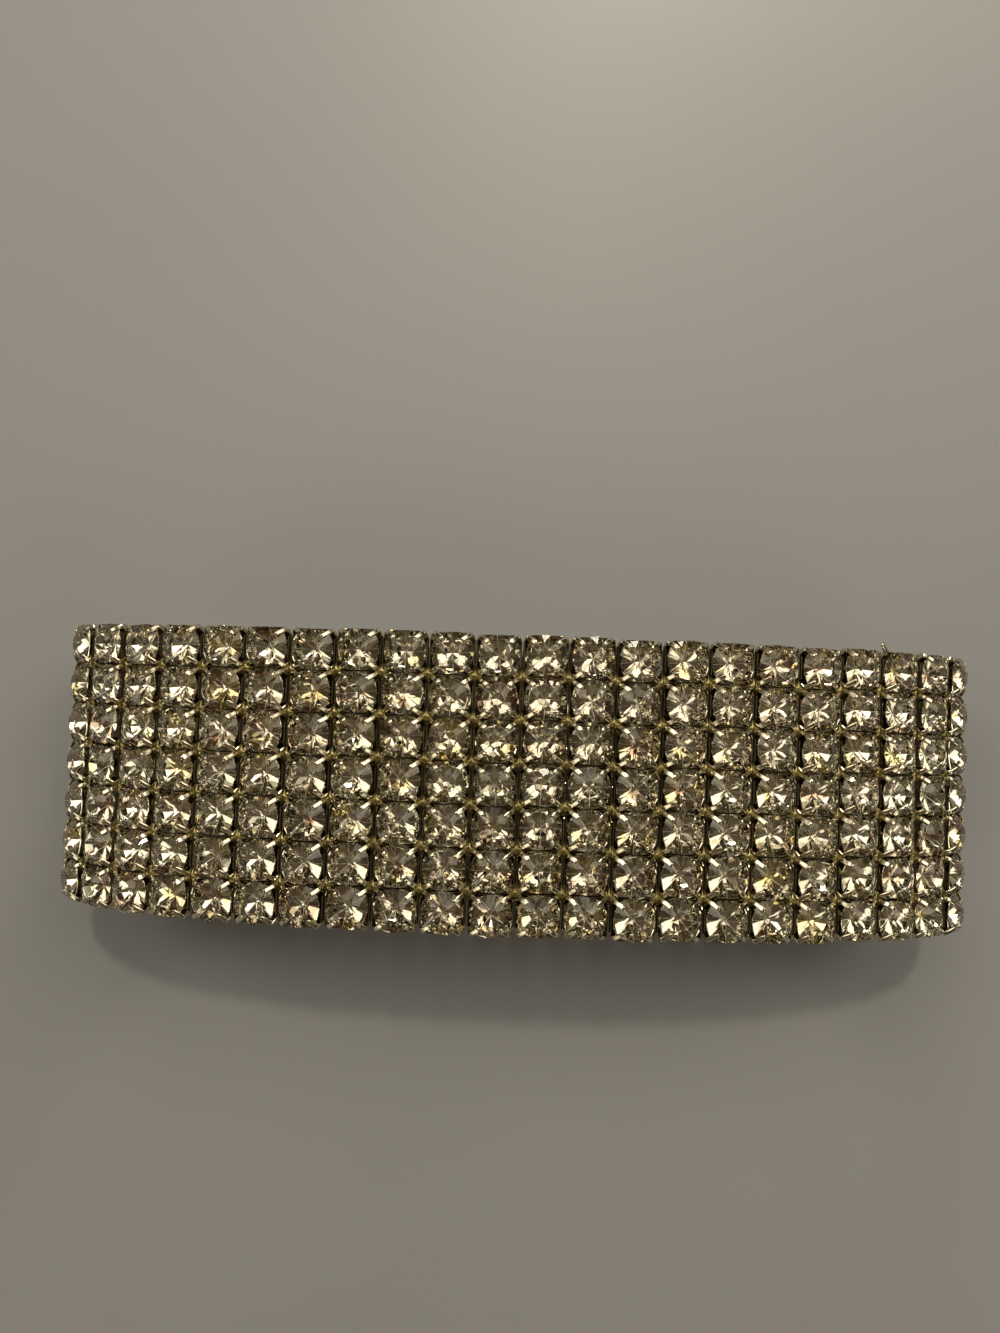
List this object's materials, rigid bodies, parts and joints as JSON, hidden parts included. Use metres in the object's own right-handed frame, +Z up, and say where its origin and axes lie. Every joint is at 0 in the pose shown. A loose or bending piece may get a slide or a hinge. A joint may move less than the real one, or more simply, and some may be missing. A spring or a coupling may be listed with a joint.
{
  "type": "stretch bracelet",
  "caption": "Wide stretch bracelet of claw-set clear rhinestones in soldered columns on hidden elastic strands, lying as a flattened oval.",
  "frame": {"origin": "middle of the bottom of the bounding box, on the surface that the band lies on", "axes": "+X along the oval's long axis, +Y across the band's width, +Z up"},
  "size_m": [0.0854, 0.0262, 0.0235],
  "materials": {
    "silver_setting": "bright silver-tone plating, warm and slightly worn",
    "elastic": "satin, off-white",
    "clear_stone": "polished, faceted, foil-backed",
    "solder": "bright pale champagne metal"
  },
  "bodies": {
    "root": {"column_01": "silver_setting", "column_02": "silver_setting", "column_03": "silver_setting", "column_04": "silver_setting", "column_05": "silver_setting", "column_06": "silver_setting", "column_07": "silver_setting", "column_08": "silver_setting", "column_09": "silver_setting", "column_10": "silver_setting", "column_11": "silver_setting", "column_12": "silver_setting", "column_13": "silver_setting", "column_14": "silver_setting", "column_15": "silver_setting", "column_16": "silver_setting", "column_17": "silver_setting", "column_18": "silver_setting", "column_19": "silver_setting", "column_20": "silver_setting", "column_21": "silver_setting", "column_22": "silver_setting", "column_23": "silver_setting", "column_24": "silver_setting", "column_25": "silver_setting", "column_26": "silver_setting", "column_27": "silver_setting", "column_28": "silver_setting", "column_29": "silver_setting", "column_30": "silver_setting", "column_31": "silver_setting", "column_32": "silver_setting", "column_33": "silver_setting", "column_34": "silver_setting", "column_35": "silver_setting", "column_36": "silver_setting", "column_37": "silver_setting", "column_38": "silver_setting", "column_39": "silver_setting", "column_40": "silver_setting", "column_41": "silver_setting", "column_42": "silver_setting", "column_43": "silver_setting", "column_44": "silver_setting", "column_45": "silver_setting", "column_46": "silver_setting", "strand_row_2": "elastic", "strand_row_6": "elastic"}
  },
  "joints": []
}
